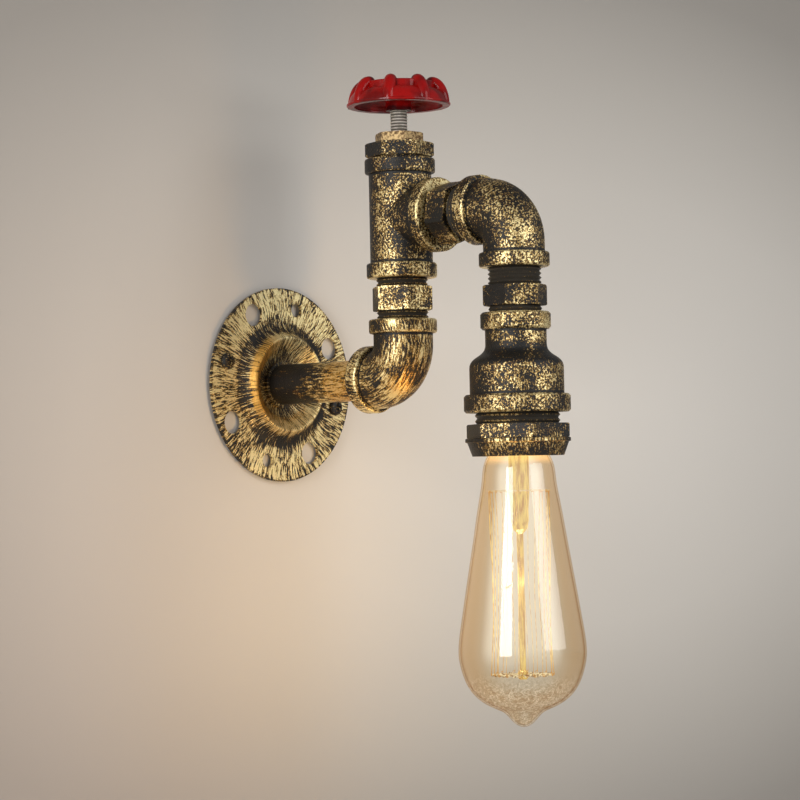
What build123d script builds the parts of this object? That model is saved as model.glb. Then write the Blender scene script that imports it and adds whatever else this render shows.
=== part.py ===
from build123d import *
from math import cos, radians, sin, sqrt
import os

# Industrial pipe wall light. Millimetres, +Z up.
# Origin: centre of the mounting bracket's back face, on the wall. The wall is the plane Y = 0
# and the lamp stands out towards -Y. The whole pipe run lies in the plane X = 0.

# ---------------------------------------------------------------- driving dimensions

# Common clearances
thread_play = 0.08          # radial, between a screwed-in thread and its socket
seat_play = 0.3             # between a moving piece and the seat it rests against
running_play = 0.05         # radial, around a turning or sliding spindle
screw_end_play = 0.2        # between a screw's end and the wall behind it
past = 1.0                  # how far a cut runs past the face that it opens

# Wall plate, a pressed disc
plate_radius = 51.6
plate_sheet = 1.5
plate_ring_foot = 33.0      # radius where the raised ring leaves the flat rim
plate_ring_crest = 25.5     # radius of the raised ring's crest
plate_ring_height = 6.5     # crest above the flat rim's front
plate_dish_level = 2.3      # front of the dished centre, from the wall
plate_collar_wall = 1.7     # wall of the tapped collar in the dished centre
plate_collar_height = 4.2   # collar's front edge, from the wall
hole_circle_radius = 41.8
large_hole_radius = 6.0
small_hole_radius = 3.7
first_large_hole = 61.3     # clockwise from the top, seen from the room
holes_of_each_size = 4

# Mounting bracket behind the plate, and its fasteners
bracket_sheet = 1.5
bracket_end = 6.7           # bar beyond the middle of each tapped hole
bracket_width = 20.0
bracket_disc_radius = 29.0
bracket_centre_hole = 17.0
bracket_fixing_circle = 23.0
bracket_fixing_hole = 2.75
earth_circle = 25.0         # earth terminal's distance from the pipe's axis
plate_screw_radius = 2.5
plate_screw_head_radius = 4.4
plate_screw_head_height = 2.4
earth_screw_radius = 2.0
earth_screw_head_radius = 3.4
earth_screw_head_height = 2.2
earth_lug_sheet = 0.8
earth_lug_radius = 3.8
earth_lead_radius = 1.0
earth_lead_hole = 2.2
earth_lead_reach = 8.6      # from the earth screw to the lead's hole
earth_barrel_length = 2.8
earth_barrel_wall = 0.35
earth_barrel_overlap = 0.4  # barrel's start inside the lug's edge
earth_barrel_floor = 0.8    # solid end of the barrel
earth_lead_play = 0.02      # radial, where the lead is crimped
earth_lead_stop = 0.1       # between the lead's end and the barrel's floor
earth_bend = 1.9

# Supply pipe, half-inch
pipe_radius = 10.65
pipe_bore = 8.05
pipe_back = 1.0             # pipe's rear end, from the wall

# Three-quarter-inch thread
thread_radius = 13.22
thread_pitch = 1.814
thread_depth = 1.1
socket_depth = 13.5         # tapped depth of each socket
engagement = 12.0           # length of thread screwed into a socket

# Elbows
elbow_level_leg = 25.6      # from the corner to the level mouth
elbow_upright_leg = 30.0    # from the corner to the upright mouth
elbow_radius = 15.2
elbow_bore = 11.5
elbow_bend = 17.5           # radius of the centre line
elbow_bead_radius = 17.4
elbow_bead_height = 7.2
bead_round = 1.0

# Tee
tee_half = 30.5
tee_outlet_leg = 27.8
tee_radius = 16.0
tee_bore = 12.5
tee_bead_radius = 18.0
tee_bead_height = 7.6
tee_outlet_bead_radius = 18.8
tee_outlet_bead_height = 6.5
tee_outlet_root = 15.3      # outlet's radius where it leaves the run
tee_outlet_bore = 12.2
tee_outlet_radius = 17.2

# Positions of the run
tower_reach = 91.3          # wall to the upright's axis

# Hex nipples: visible thread, hexagon, visible thread
nipple_bore = 10.8
nipple_across_flats = 28.0
tower_nipple = (4.4, 12.2, 4.4)
side_nipple = (1.6, 12.2, 7.7)
drop_nipple = (3.2, 10.2, 8.8)
thread_relief = 0.3         # plain length where a thread enters its socket
hex_chamfer = 0.9

# Turn of each hexagon, and of the wheel's lobes, about its own axis, in degrees
tower_nipple_turn = -127
side_nipple_turn = 20
drop_nipple_turn = -157
holder_hex_turn = -124
plug_turn = -108
gland_turn = -123
wheel_lobe_turn = -149.4

# Bell reducer
bell_length = 49.1
bell_bead_radius = 17.3
bell_bead_height = 8.4
bell_neck_radius = 15.1
bell_shoulder_height = 7.0  # between the neck and the body
bell_shoulder_rise = 3.0    # how far the shoulder's curve runs up the neck
bell_shoulder_fall = 2.0    # how far it runs down the body
bell_body_height = 23.5     # wide part below the shoulder
bell_body_radius = 23.2
bell_rim_radius = 26.2
bell_rim_height = 8.8
bell_cavity_radius = 20.2

# Holder bushing under the bell
holder_thread_radius = 20.95
holder_thread_pitch = 2.309
holder_thread_gap = 5.6     # visible thread between the bell and the hexagon
holder_thread_in = 10.5
holder_hex_flats = 45.0
holder_hex_height = 6.9
holder_bore = 19.0

# Holder rim: lip, skirt and spigot
lip_radius = 25.9
lip_height = 2.2
skirt_top_radius = 24.9
skirt_low_radius = 22.5
skirt_height = 6.6
rim_bore = 17.7
rim_seat_bore = 16.9
rim_seat_height = 1.3
rim_spigot_height = 9.0
lip_slope = 0.3             # height of the lip's lower slope
lip_edge = 0.4              # height of the lip's upper corner
lip_corner = 0.5            # width of the lip's upper corner

# Porcelain lampholder, for a 27 mm screw cap
porcelain_radius = 17.5
porcelain_height = 41.5
porcelain_mouth_radius = 16.3
porcelain_mouth_depth = 4.0
shell_inner_radius = 13.35
shell_sheet = 0.35
shell_wave = 0.55
cap_pitch = 3.62
contact_chamber_radius = 12.6
contact_chamber_depth = 5.0
contact_sheet = 0.6
contact_width = 5.0
lead_way_radius = 1.3
lead_way_inset = 2.0        # from the chamber's wall to the lead way's axis
shell_play = 0.1            # radial, around the shell in the porcelain
shell_end = 1.0             # plain length at each end of the shell
terminal_reach = 9.0        # from the axis to each terminal
terminal_width = 5.0
terminal_depth = 6.0
terminal_height = 6.0
terminal_screw_radius = 1.5
terminal_screw_level = 3.6  # above the block's foot
terminal_screw_head = 1.6
terminal_slot = 0.6
terminal_slot_depth = 0.7
terminal_way_start = 0.1    # from the lead's side to the tapped hole
lead_hole_play = 0.05       # radial, around a lead in its block
lead_clamp_play = 0.3       # between a lead and the end of its clamp screw

# Bulb
cap_above_mouth = 4.6       # cap's foot above the holder rim's mouth
cap_under_shell = 0.6       # cap's top below the shell's top
cap_radius = 13.1
cap_thread_depth = 1.0
cap_height = 23.0
cap_sheet = 0.6
cap_rim_height = 3.2
insulator_height = 3.6
insulator_top_radius = 4.2
tip_radius = 3.6
tip_height = 1.6
glass_wall = 0.9
glass_neck_radius = 12.1
glass_neck_in = 2.4         # neck's length inside the cap
glass_neck_out = 0.4        # straight neck below the cap
glass_length = 132.3        # from the holder rim's mouth to the pip's end
# Upper part of the envelope: (radius, depth under the holder rim's mouth)
glass_flank = [(15.5, 0.4), (17.3, 5.0), (18.2, 11.9), (19.8, 21.7), (23.0, 40.9)]
# Lower part: (radius, height above the pip's end)
glass_belly = [(26.35, 71.4), (29.4, 52.8), (31.0, 41.8), (31.3, 35.3), (29.8, 27.1), (25.8, 18.1),
               (20.9, 13.0), (13.7, 9.0), (9.5, 6.9), (6.4, 3.7), (3.3, 0.9)]
mount_tube_radius = 5.0
mount_length = 38.0
mount_rod_radius = 1.6
mount_bulge = 4.4
mount_bulge_low = 6.0       # above the pinch
mount_bulge_high = 12.0
mount_tube_low = 20.0
mount_pinch_radius = 3.4
mount_pinch_height = 2.0
mount_flare_top = 1.6       # above the cap's foot
mount_flare_height = 6.0
mount_flare_lip = 1.2
mount_flare_step = 1.5
mount_button = 2.6          # radius of the rod's lower button, which holds the lower hooks
mount_button_edge = 0.8
mount_button_half = 1.2
mount_button_end = 2.2      # button's end below the lower hooks
mount_button_neck = 2.4     # button's neck above them
spoke_play = 0.02           # between a spoke's root and the glass that carries it
cage_radius = 15.0
cage_strands = 16
cage_top = 17.0             # below the holder rim's mouth
cage_foot = 25.3            # above the pip's end
strand_radius = 0.25
hook_radius = 0.35

# Top of the tee: plug, gland nut, stem and wheel
plug_gap = 1.1
plug_flats = 30.5
plug_height = 7.0
plug_thread_in = 12.0
plug_bore = 8.0
gland_flats = 22.0
gland_height = 5.1
gland_spigot = 8.6
stem_radius = 4.5
stem_pitch = 1.5
stem_depth = 0.45
stem_visible = 11.6
stem_screw_hole = 9.0       # depth of the tapped hole for the wheel's screw
stem_land_high = 0.2        # plain land under the wheel's hub, from and to, below the hub
stem_land_low = 0.6
stem_stop_radius = 6.5
stem_stop_height = 3.6
stop_play = 0.02            # radial, where the stop is pressed on the stem
stem_rise = 3.0             # room left for the stem to rise
spigot_radius = 3.4
wheel_radius = 26.6
wheel_height = 14.4
wheel_rim_above_hub = 2.2   # lowest edge of the wheel above the hub's foot
wheel_shell = 3.0
wheel_edge = 1.6            # height of the band along the rim's lower edge
wheel_edge_stand = 0.9      # how far that band stands out of the dome
wheel_step_radius = 19.5    # radius of the raised ring inside the dome
wheel_step_height = 8.2     # dome's top above the rim's foot
wheel_crest_radius = 17.5   # radius of the lobes' crests
wheel_lobes = 8
wheel_lobe_radius = 3.1
wheel_lobe_stand = 2.6      # how far a lobe stands out of the dome
wheel_hub_radius = 6.6
wheel_hub_rise = 0.8        # hub above the web
wheel_web_drop = 3.4        # web below the dome's top
wheel_screw_radius = 2.0
wheel_screw_head_radius = 3.6
wheel_screw_head_height = 2.6
wheel_screw_length = 9.0
wheel_washer_radius = 5.0
wheel_washer_sheet = 0.8

# Leads
lead_radius = 1.15
lead_spread = 1.8           # each lead's distance from the plane X = 0
lead_turn_out = 21.0        # where the leads spread, above the porcelain
lead_turn_down = 12.0       # where they turn down again to the terminals
lead_bend_out = 9.0
lead_bend_down = 5.5
lead_end_play = 0.1         # between a lead's end and its block's floor
ferrule_radius = 1.45
ferrule_length = 8.0

# ---------------------------------------------------------------- levels and places

side_nipple_length = sum(side_nipple)
drop_reach = tower_reach + tee_outlet_leg + side_nipple_length + elbow_level_leg
tower_face = elbow_upright_leg
tee_foot = tower_face + sum(tower_nipple)
side_level = tee_foot + tee_half
tee_top = side_level + tee_half
drop_face = side_level - elbow_upright_leg
bell_top = drop_face - sum(drop_nipple)
bell_foot = bell_top - bell_length
bell_shoulder_end = bell_length - bell_body_height
bell_neck_end = bell_shoulder_end - bell_shoulder_height
holder_hex_top = bell_foot - holder_thread_gap
holder_hex_foot = holder_hex_top - holder_hex_height
skirt_top = holder_hex_foot - lip_height
mouth = skirt_top - skirt_height
porcelain_foot = mouth + rim_seat_height
porcelain_top = porcelain_foot + porcelain_height
pip_end = mouth - glass_length
cap_foot = mouth + cap_above_mouth
cap_top = cap_foot + cap_height
shell_top = cap_top + cap_under_shell
tip_top = cap_top + insulator_height + tip_height
chamber_top = tip_top + contact_chamber_depth
plug_foot = tee_top + plug_gap
plug_top = plug_foot + plug_height
gland_top = plug_top + gland_height
hub_foot = gland_top + stem_visible
stem_stop_top = plug_top - gland_spigot - stem_rise - seat_play
stem_low = stem_stop_top - stem_stop_height
rim_foot = hub_foot + wheel_rim_above_hub
wheel_top = rim_foot + wheel_height

plate_back = bracket_sheet
plate_front = plate_back + plate_sheet
hole_step = 360 / holes_of_each_size
first_small_hole = first_large_hole + hole_step / 2
screw_angle = first_small_hole

tower = Pos(0, -tower_reach, 0)
drop = Pos(0, -drop_reach, 0)
out_of_wall = Rot(90, 0, 0)                 # turns +Z to -Y
level_axis = Pos(0, 0, side_level)
# The bracket is drawn flat, its arms along X, then stood against the wall.
stand_bracket = Rot(0, screw_angle - 90, 0) * out_of_wall
earth_place = Pos(0, earth_circle, 0)


# ---------------------------------------------------------------- shared shapes

def turned(outline):
    """Solid of revolution about Z from a closed outline of (radius, height) points."""
    return revolve(Plane.XZ * make_face(Polyline(*outline, close=True)), Axis.Z)


def ring(outer, inner, low, high):
    """Plain ring about Z."""
    return turned([(inner, low), (outer, low), (outer, high), (inner, high)])


def rod(radius, low, high):
    """Plain round bar about Z."""
    return Pos(0, 0, low) * extrude(Circle(radius), high - low)


def bead(radius, low, high, round_off=bead_round):
    """Rounded band about Z, the rim of a cast fitting."""
    edge = round_off
    return turned([(0, low), (radius - edge, low), (radius - 0.3 * edge, low + 0.3 * edge),
                   (radius, low + edge), (radius, high - edge),
                   (radius - 0.3 * edge, high - 0.3 * edge), (radius - edge, high), (0, high)])


def thread_points(crest, depth, pitch, low, high):
    """Zigzag of (radius, height) points up the outside of a thread with closed rings."""
    turns = max(1, int((high - low) / pitch))
    step = (high - low) / turns
    points = [(crest - depth, low)]
    for turn in range(turns):
        points.append((crest, low + (turn + 0.5) * step))
        points.append((crest - depth, low + (turn + 1) * step))
    return points


def hexagon(flats, low, high, chamfer=hex_chamfer):
    """Six-sided block about Z, a corner towards +X, its corners turned down at both ends."""
    corner = flats / sqrt(3)
    block = Pos(0, 0, low) * extrude(RegularPolygon(corner, 6), high - low)
    edge = corner - chamfer
    rise = 0.58 * chamfer
    blank = turned([(0, low), (edge, low), (corner, low + rise), (corner, high - rise),
                    (edge, high), (0, high)])
    return block & blank


def wire(points, radius, bends):
    """Round wire along straight runs joined by arcs."""
    path = FilletPolyline(*points, radius=bends)
    start = Plane(origin=points[0], z_dir=Vector(*points[1]) - Vector(*points[0]))
    return sweep(start * Circle(radius), path=path)


def around(radius, clockwise):
    """(x, z) of a place on a circle in the wall plane, clockwise from the top."""
    turn = radians(clockwise)
    return radius * sin(turn), radius * cos(turn)


def on_plate(radius, clockwise, distance=0.0):
    """Place on a circle of the plate, its +Z turned out of the wall."""
    x, z = around(radius, clockwise)
    return Pos(x, -distance, z) * out_of_wall


def keep(solid, name):
    """Write one sub-part."""
    solid.label = name
    export_step(solid, f"parts/{name}.step")


def group(solids):
    """Separate solids under one name."""
    return Compound(children=list(solids))


# ---------------------------------------------------------------- wall plate and bracket

def plate_wave(height):
    """Front of the raised ring, from the flat rim to the dished centre, moved by height."""
    foot = (plate_ring_foot, plate_front + height)
    crest = (plate_ring_crest, plate_front + plate_ring_height + height)
    dish = (pipe_radius + plate_collar_wall, plate_dish_level + height)
    return Spline(foot, crest, dish, tangents=[(-1, 0.15), (-1, -0.25)])


def make_wall_plate():
    """Pressed disc with a raised ring and a tapped collar for the pipe."""
    front = plate_wave(0)
    back = plate_wave(-plate_sheet)
    rim = Polyline(back @ 0, (plate_radius, plate_back), (plate_radius, plate_front), front @ 0)
    inner = Line(front @ 1, back @ 1)
    sheet = revolve(Plane.XZ * make_face([front, inner, back, rim]), Axis.Z)
    sheet += ring(pipe_radius + plate_collar_wall, pipe_radius + thread_play,
                  plate_dish_level - plate_sheet, plate_collar_height)
    plate = out_of_wall * sheet
    for index in range(holes_of_each_size):
        turn = index * hole_step
        drill = rod(large_hole_radius, -past, plate_front + past)
        plate -= on_plate(hole_circle_radius, first_large_hole + turn) * drill
        drill = rod(small_hole_radius, -past, plate_front + past)
        plate -= on_plate(hole_circle_radius, first_small_hole + turn) * drill
    return plate


def make_mounting_bracket():
    """Crossbar with a round middle, lying on the wall behind the plate."""
    length = 2 * (hole_circle_radius + bracket_end)
    bar = extrude(Rectangle(length, bracket_width), bracket_sheet)
    bar = fillet(bar.edges().filter_by(Axis.Z), bracket_width / 4)
    bar += rod(bracket_disc_radius, 0, bracket_sheet)
    front = bracket_sheet + past
    bar -= rod(bracket_centre_hole, -past, front)
    for side in (-1, 1):
        bar -= Pos(side * bracket_fixing_circle, 0, 0) * rod(bracket_fixing_hole, -past, front)
        tapped = rod(plate_screw_radius + thread_play, -past, front)
        bar -= Pos(side * hole_circle_radius, 0, 0) * tapped
    bar -= earth_place * rod(earth_screw_radius + thread_play, -past, front)
    bar -= earth_place * Pos(earth_lead_reach, 0, 0) * rod(earth_lead_hole, -past, front)
    return stand_bracket * bar


def cross_slot(size, depth):
    """Cross recess, its top at height 0."""
    arm = Pos(0, 0, -depth / 2) * Box(size, 0.22 * size, depth)
    return arm + Rot(0, 0, 90) * arm


def pan_screw(radius, head_radius, head_height, length):
    """Cross-head screw: the head stands on height 0, the shank reaches down."""
    dome = turned([(0, 0), (head_radius, 0), (head_radius, 0.45 * head_height),
                   (0.82 * head_radius, 0.85 * head_height), (0.5 * head_radius, head_height),
                   (0, head_height)])
    screw = dome + rod(radius, -length, 0.01)
    return screw - Pos(0, 0, head_height) * cross_slot(1.1 * head_radius, 0.6 * head_height)


def make_plate_screws():
    """The two screws that hold the plate to the bracket."""
    screw = pan_screw(plate_screw_radius, plate_screw_head_radius, plate_screw_head_height,
                      plate_front - screw_end_play)
    return group(on_plate(hole_circle_radius, screw_angle + turn, plate_front) * screw
                 for turn in (0, 180))


earth_lug_top = bracket_sheet + earth_lug_sheet
barrel_radius = earth_lead_radius + earth_barrel_wall
barrel_level = bracket_sheet + barrel_radius
barrel_start = earth_lug_radius - earth_barrel_overlap
barrel_end = barrel_start + earth_barrel_length
barrel_floor = barrel_start + earth_barrel_floor


def make_earth_screw():
    """Screw of the earth terminal on the bracket."""
    screw = pan_screw(earth_screw_radius, earth_screw_head_radius, earth_screw_head_height,
                      earth_lug_top - screw_end_play)
    return stand_bracket * earth_place * Pos(0, 0, earth_lug_top) * screw


def make_earth_lug():
    """Ring terminal crimped on the earth lead."""
    eye = ring(earth_lug_radius, earth_screw_radius + thread_play, bracket_sheet, earth_lug_top)
    barrel = rod(barrel_radius, barrel_start, barrel_end)
    barrel -= rod(earth_lead_radius + earth_lead_play, barrel_floor, barrel_end + past)
    return stand_bracket * earth_place * (eye + Pos(0, 0, barrel_level) * Rot(0, 90, 0) * barrel)


def make_earth_lead():
    """Short lead from the wall, through the bracket, to the earth terminal."""
    points = [(earth_lead_reach, 0, 0), (earth_lead_reach, 0, barrel_level),
              (barrel_floor + earth_lead_stop, 0, barrel_level)]
    return stand_bracket * earth_place * wire(points, earth_lead_radius, earth_bend)


# ---------------------------------------------------------------- pipe and fittings

def make_supply_pipe():
    """Half-inch pipe, screwed into the plate and the lower elbow."""
    end = tower_reach - elbow_level_leg + engagement
    return out_of_wall * ring(pipe_radius, pipe_bore, pipe_back, end)


def make_elbow(level_socket):
    """Cast elbow, its corner at the origin: one mouth towards +Y, one towards +Z."""
    mouths = [(0, elbow_level_leg, 0), (0, 0, 0), (0, 0, elbow_upright_leg)]
    body = wire(mouths, elbow_radius, elbow_bend)
    bore = wire(mouths, elbow_bore, elbow_bend)
    level = Rot(-90, 0, 0)
    body += level * bead(elbow_bead_radius, elbow_level_leg - elbow_bead_height, elbow_level_leg)
    body += bead(elbow_bead_radius, elbow_upright_leg - elbow_bead_height, elbow_upright_leg)
    body -= bore
    body -= level * rod(level_socket, elbow_level_leg - socket_depth, elbow_level_leg + past)
    upright_socket = thread_radius + thread_play
    return body - rod(upright_socket, elbow_upright_leg - socket_depth, elbow_upright_leg + past)


def make_lower_elbow():
    """Elbow from the supply pipe up to the tower."""
    return tower * make_elbow(pipe_radius + thread_play)


def make_upper_elbow():
    """Elbow from the side nipple down to the bell."""
    return drop * level_axis * mirror(make_elbow(thread_radius + thread_play), Plane.XY)


def make_hex_nipple(lengths):
    """Hex nipple, the face of the fitting below it at height 0."""
    low_gap, hex_height, high_gap = lengths
    hex_top = low_gap + hex_height
    top = hex_top + high_gap
    outline = [(nipple_bore, -engagement), (thread_radius, -engagement),
               (thread_radius, -thread_relief)]
    outline += thread_points(thread_radius, thread_depth, thread_pitch, 0, low_gap)
    outline += thread_points(thread_radius, thread_depth, thread_pitch, hex_top, top)
    end = top + engagement
    outline += [(thread_radius, top + thread_relief), (thread_radius, end), (nipple_bore, end)]
    block = hexagon(nipple_across_flats, low_gap, hex_top)
    block -= rod(nipple_bore, low_gap - past, hex_top + past)
    return turned(outline) + block


def make_tower_nipple():
    """Nipple between the lower elbow and the tee."""
    return tower * Pos(0, 0, tower_face) * Rot(0, 0, tower_nipple_turn) * make_hex_nipple(tower_nipple)


def make_side_nipple():
    """Nipple between the tee and the upper elbow."""
    place = Pos(0, -tower_reach - tee_outlet_leg, side_level) * out_of_wall
    return place * Rot(0, 0, side_nipple_turn) * make_hex_nipple(side_nipple)


def make_drop_nipple():
    """Nipple between the bell and the upper elbow."""
    return drop * Pos(0, 0, bell_top) * Rot(0, 0, drop_nipple_turn) * make_hex_nipple(drop_nipple)


def make_tee():
    """Cast tee with its outlet away from the wall, centred on the side level."""
    body = rod(tee_radius, -tee_half, tee_half)
    bead_start = tee_outlet_leg - tee_outlet_bead_height
    outlet = turned([(0, 0), (tee_outlet_root, 0), (tee_outlet_root, tee_radius - 5),
                     (tee_outlet_radius, bead_start + 0.5), (0, bead_start + 0.5)])
    body += out_of_wall * outlet
    for end in (-tee_half, tee_half - tee_bead_height):
        body += bead(tee_bead_radius, end, end + tee_bead_height)
    body += out_of_wall * bead(tee_outlet_bead_radius, bead_start, tee_outlet_leg)
    body -= rod(tee_bore, -tee_half - past, tee_half + past)
    body -= out_of_wall * rod(tee_outlet_bore, 0, tee_outlet_leg + past)
    socket = rod(thread_radius + thread_play, tee_half - socket_depth, tee_half + past)
    body -= socket
    body -= Rot(180, 0, 0) * socket
    side_socket = rod(thread_radius + thread_play, tee_outlet_leg - socket_depth,
                      tee_outlet_leg + past)
    body -= out_of_wall * side_socket
    return tower * level_axis * body


def make_bell():
    """Bell reducer, its top face at height 0."""
    neck_top = -bell_bead_height
    rim_top = -bell_length + bell_rim_height
    curve_top = -bell_neck_end + bell_shoulder_rise
    curve_low = -bell_shoulder_end - bell_shoulder_fall
    flank = Polyline((0, 0), (bell_bead_radius - bead_round, 0), (bell_bead_radius, -bead_round),
                     (bell_bead_radius, neck_top + bead_round), (bell_bead_radius - bead_round, neck_top),
                     (bell_neck_radius, neck_top), (bell_neck_radius, curve_top))
    shoulder = Spline((bell_neck_radius, curve_top), (bell_body_radius, curve_low),
                      tangents=[(0, -1), (0, -1)])
    foot = Polyline((bell_body_radius, curve_low), (bell_body_radius, rim_top),
                    (bell_rim_radius - bead_round, rim_top), (bell_rim_radius, rim_top - bead_round),
                    (bell_rim_radius, -bell_length + bead_round),
                    (bell_rim_radius - bead_round, -bell_length), (0, -bell_length), (0, 0))
    body = revolve(Plane.XZ * make_face([flank, shoulder, foot]), Axis.Z)
    body -= rod(thread_radius + thread_play, -socket_depth, past)
    under = -bell_length - past
    body -= turned([(0, past), (elbow_bore, past), (elbow_bore, -bell_neck_end),
                    (bell_cavity_radius, curve_low), (bell_cavity_radius, under), (0, under)])
    body -= rod(holder_thread_radius + thread_play, under, -bell_length + holder_thread_in + past)
    return drop * Pos(0, 0, bell_top) * body


# ---------------------------------------------------------------- lampholder

def make_holder_bushing():
    """Hollow hex bushing screwed into the bell."""
    thread_root = holder_thread_radius - thread_depth
    outline = [(holder_bore, holder_hex_foot), (thread_root, holder_hex_foot)]
    outline += thread_points(holder_thread_radius, thread_depth, holder_thread_pitch,
                             holder_hex_top, bell_foot)
    end = bell_foot + holder_thread_in
    outline += [(holder_thread_radius, bell_foot + thread_relief), (holder_thread_radius, end),
                (holder_bore, end)]
    block = hexagon(holder_hex_flats, holder_hex_foot, holder_hex_top)
    block -= rod(holder_bore, holder_hex_foot - past, holder_hex_top + past)
    return drop * Rot(0, 0, holder_hex_turn) * (turned(outline) + block)


def make_holder_rim():
    """Lip, tapering skirt and spigot that hold the porcelain up in the bushing."""
    spigot_radius_out = holder_bore - thread_play
    outline = [(rim_seat_bore, mouth), (skirt_low_radius, mouth), (skirt_top_radius, skirt_top),
               (lip_radius, skirt_top + lip_slope), (lip_radius, holder_hex_foot - lip_edge),
               (lip_radius - lip_corner, holder_hex_foot), (spigot_radius_out, holder_hex_foot),
               (spigot_radius_out, holder_hex_foot + rim_spigot_height),
               (rim_bore, holder_hex_foot + rim_spigot_height), (rim_bore, porcelain_foot),
               (rim_seat_bore, porcelain_foot)]
    return drop * turned(outline)


def make_porcelain():
    """Porcelain body: mouth, socket for the shell and a chamber for the centre contact."""
    body = rod(porcelain_radius, porcelain_foot, porcelain_top)
    shell_radius = shell_inner_radius + shell_wave + shell_sheet + shell_play
    body -= turned([(0, porcelain_foot - past), (porcelain_mouth_radius, porcelain_foot - past),
                    (porcelain_mouth_radius, porcelain_foot + past),
                    (shell_radius, porcelain_foot + porcelain_mouth_depth), (shell_radius, shell_top),
                    (contact_chamber_radius, shell_top), (contact_chamber_radius, chamber_top),
                    (0, chamber_top)])
    lead_way = rod(lead_way_radius, chamber_top - past, porcelain_top + past)
    return drop * (body - Pos(contact_chamber_radius - lead_way_inset, 0, 0) * lead_way)


def make_socket_shell():
    """Rolled threaded shell that takes the bulb's cap."""
    low = porcelain_foot + porcelain_mouth_depth
    crest = shell_inner_radius + shell_wave
    inside = thread_points(crest, shell_wave, cap_pitch, low + shell_end, shell_top - shell_end)
    outside = [(radius + shell_sheet, height) for radius, height in inside]
    outline = [(shell_inner_radius, low)] + inside + [(shell_inner_radius, shell_top)]
    outline += [(shell_inner_radius + shell_sheet, shell_top)] + outside[::-1]
    outline += [(shell_inner_radius + shell_sheet, low)]
    return drop * turned(outline)


def make_centre_contact():
    """Bent spring leaf under the chamber's ceiling, its free end over the bulb's tip."""
    free = tip_top + seat_play
    fixed = chamber_top - contact_sheet
    reach = contact_chamber_radius - 1.5
    side = Polyline((reach, chamber_top), (reach, fixed), (1.5, free), (-2.5, free),
                    (-2.5, free + contact_sheet), (1.7, free + contact_sheet),
                    (reach - 2.6, chamber_top), close=True)
    leaf = extrude(Plane.XZ * make_face(side), contact_width / 2, both=True)
    return drop * leaf


def terminal_places():
    """Middle of each terminal's foot: live towards -X, neutral towards +X."""
    return [(side, Pos(side * terminal_reach, -drop_reach, porcelain_top)) for side in (-1, 1)]


def make_terminal_blocks():
    """Brass blocks on the porcelain, bored from above for the leads."""
    blocks = []
    for side, place in terminal_places():
        block = Pos(0, 0, terminal_height / 2) * Box(terminal_width, terminal_depth, terminal_height)
        block -= rod(lead_radius + lead_hole_play, terminal_height / 3, terminal_height + past)
        screw_way = rod(terminal_screw_radius + thread_play, lead_radius + terminal_way_start,
                        terminal_width)
        tapped = Pos(0, 0, terminal_screw_level) * Rot(0, side * 90, 0) * screw_way
        blocks.append(place * (block - tapped))
    return group(blocks)


def make_terminal_screws():
    """Clamp screws in the sides of the terminal blocks."""
    screws = []
    half = terminal_width / 2
    head_end = half + terminal_screw_head
    for side, place in terminal_places():
        screw = rod(terminal_screw_radius, lead_radius + lead_clamp_play, half)
        screw += rod(1.5 * terminal_screw_radius, half, head_end)
        screw -= Pos(0, 0, head_end) * Box(terminal_slot, 4 * terminal_screw_radius,
                                           2 * terminal_slot_depth)
        screws.append(place * Pos(0, 0, terminal_screw_level) * Rot(0, side * 90, 0) * screw)
    return group(screws)


# ---------------------------------------------------------------- bulb

def inset_points(points, wall):
    """Points of a half outline moved inwards by the wall, square to the outline."""
    moved = []
    for before, point, after in zip(points, points[1:], points[2:]):
        run, fall = after[0] - before[0], after[1] - before[1]
        length = sqrt(run * run + fall * fall)
        moved.append((point[0] + wall * fall / length, point[1] - wall * run / length))
    return moved


def glass_form(inset):
    """Bulb's envelope as a solid, drawn in by inset."""
    neck = (glass_neck_radius, cap_foot - glass_neck_out)
    flank = [(radius, mouth - depth) for radius, depth in glass_flank]
    belly = [(radius, pip_end + height) for radius, height in glass_belly]
    points = [neck] + flank + belly + [(0, pip_end)]
    if inset:
        inner_neck = (glass_neck_radius - inset, neck[1])
        points = [inner_neck] + inset_points(points, inset) + [(0, pip_end + inset)]
    wall = Spline(*points)
    neck_top = cap_foot + glass_neck_in
    close = Polyline(points[-1], (0, neck_top), (points[0][0], neck_top), points[0])
    return revolve(Plane.XZ * make_face([wall, close]), Axis.Z)


def make_bulb_glass():
    """Blown envelope, open at the neck inside the cap."""
    hollow = glass_form(glass_wall)
    hollow += rod(glass_neck_radius - glass_wall, cap_foot, cap_foot + glass_neck_in + past)
    return drop * (glass_form(0) - hollow)


def make_bulb_cap():
    """Threaded cap."""
    thread_low = cap_foot + cap_rim_height
    outside = [(cap_radius + 0.1, cap_foot), (cap_radius + 0.1, cap_foot + 0.8),
               (cap_radius - cap_thread_depth, cap_foot + 1.4)]
    outside += thread_points(cap_radius, cap_thread_depth, cap_pitch, thread_low, cap_top - 1.2)
    outside += [(cap_radius - cap_thread_depth - 0.6, cap_top)]
    inner = cap_radius - cap_thread_depth - cap_sheet
    outline = outside + [(inner - 0.6, cap_top), (inner, cap_top - 1.0), (inner, cap_foot + 3.6),
                         (glass_neck_radius + 0.15, cap_foot + 2.6), (glass_neck_radius + 0.35, cap_foot)]
    return drop * turned(outline)


def make_bulb_insulator():
    """Black glass cone between the cap and the tip."""
    base = cap_radius - cap_thread_depth - 0.6
    return drop * turned([(tip_radius - 1.2, cap_top), (base, cap_top), (base - 1.0, cap_top + 1.0),
                          (insulator_top_radius, cap_top + insulator_height),
                          (tip_radius - 1.2, cap_top + insulator_height)])


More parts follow.
